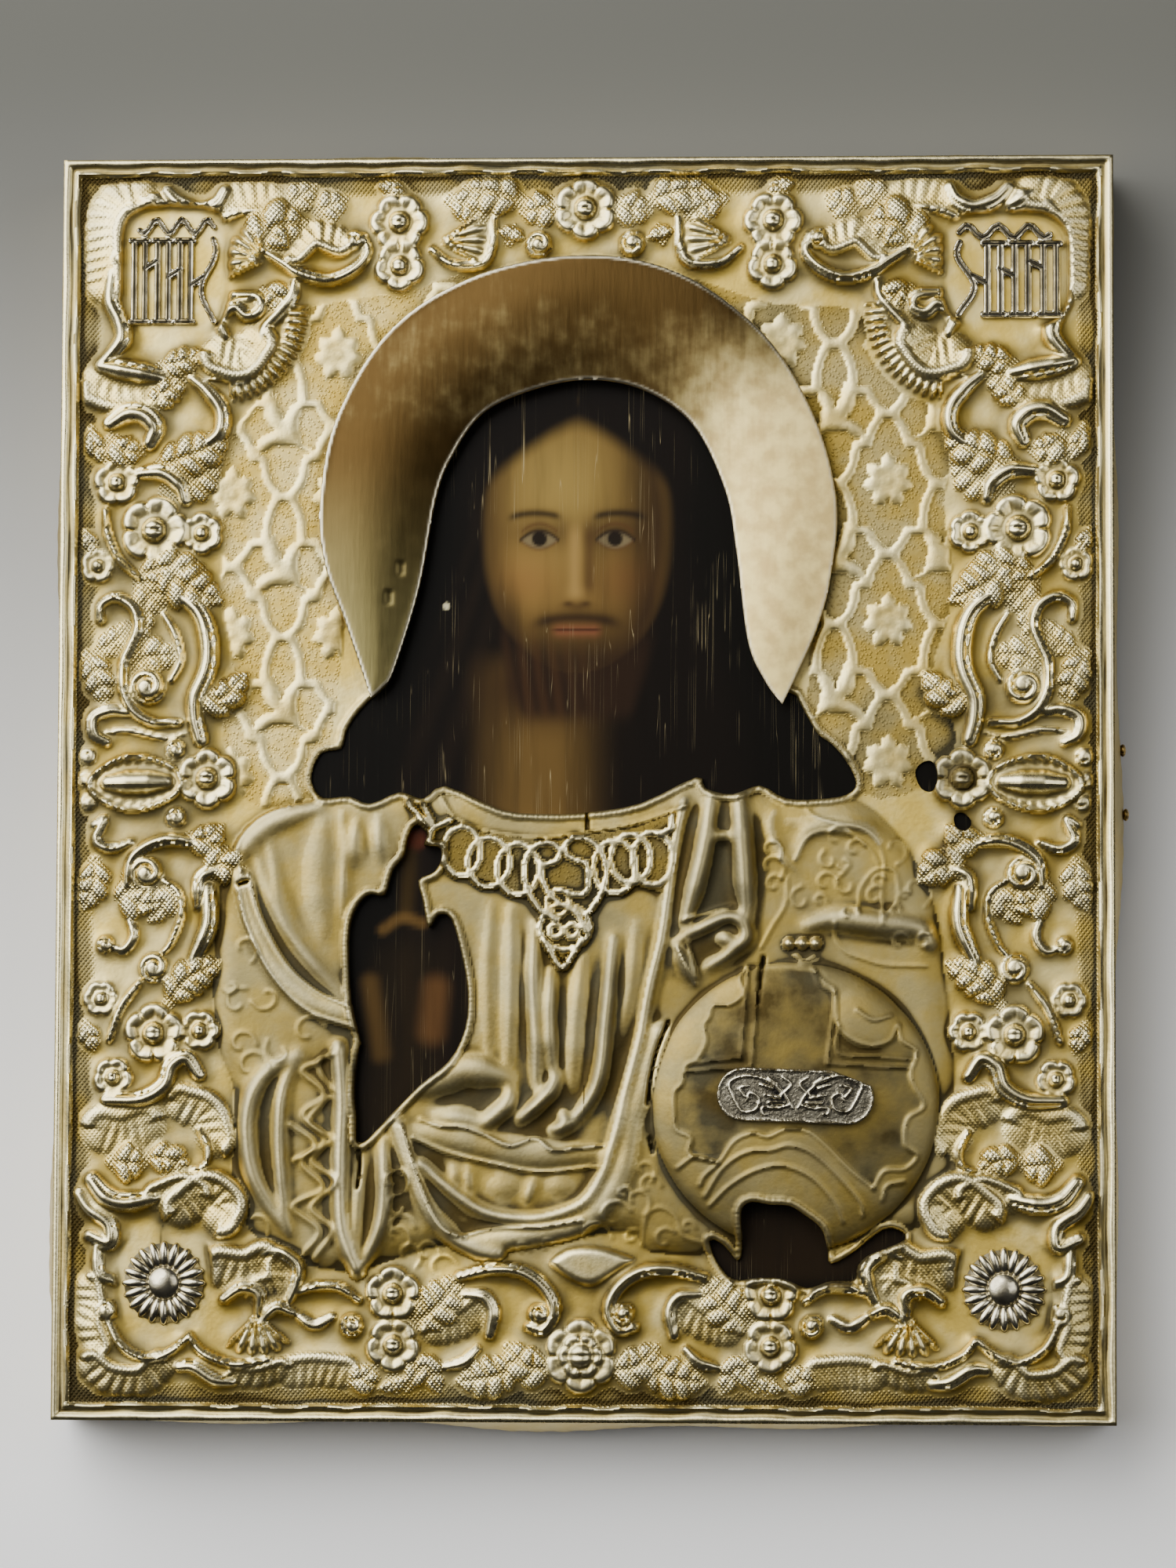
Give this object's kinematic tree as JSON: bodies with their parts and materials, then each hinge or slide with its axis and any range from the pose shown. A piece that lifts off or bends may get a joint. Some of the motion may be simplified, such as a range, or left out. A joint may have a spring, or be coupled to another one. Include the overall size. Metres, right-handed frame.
{
  "type": "icon panel",
  "caption": "Painted wooden icon of a blessing half-length figure under a chased, parcel-gilt silver cover with a plain halo, corner plates and rosettes.",
  "frame": {"origin": "centre of the board's flat back, on the surface that the panel lies on", "axes": "+Z out of the picture, +Y to the top of the picture, +X to the viewer's right; millimetre solids, metre row"},
  "size_m": [0.2301, 0.2737, 0.0301],
  "materials": {
    "painted_wood": "oil painting on gesso under aged varnish in front, bare aged lime wood at the sides and back",
    "parcel_gilt_silver": "chased and stamped silver sheet with worn pale gilding, silver showing on the high points and brown tarnish in the hollows",
    "tarnished_gilt_sheet": "burnished plain sheet with brown and olive tarnish and fine scratches",
    "oxidised_silver": "cast and chased silver, bright on the edges and dark in the recesses",
    "nail_brass": "small domed nail heads, dull"
  },
  "bodies": {
    "root": {"icon_board": "painted_wood", "cover": "parcel_gilt_silver", "halo": "tarnished_gilt_sheet", "title_plate_left": "oxidised_silver", "title_plate_right": "oxidised_silver", "rosette_left": "oxidised_silver", "rosette_right": "oxidised_silver", "orb_plaque": "oxidised_silver", "nail_left_upper": "nail_brass", "nail_left_lower": "nail_brass", "nail_right_upper": "nail_brass", "nail_right_lower": "nail_brass"}
  },
  "joints": []
}
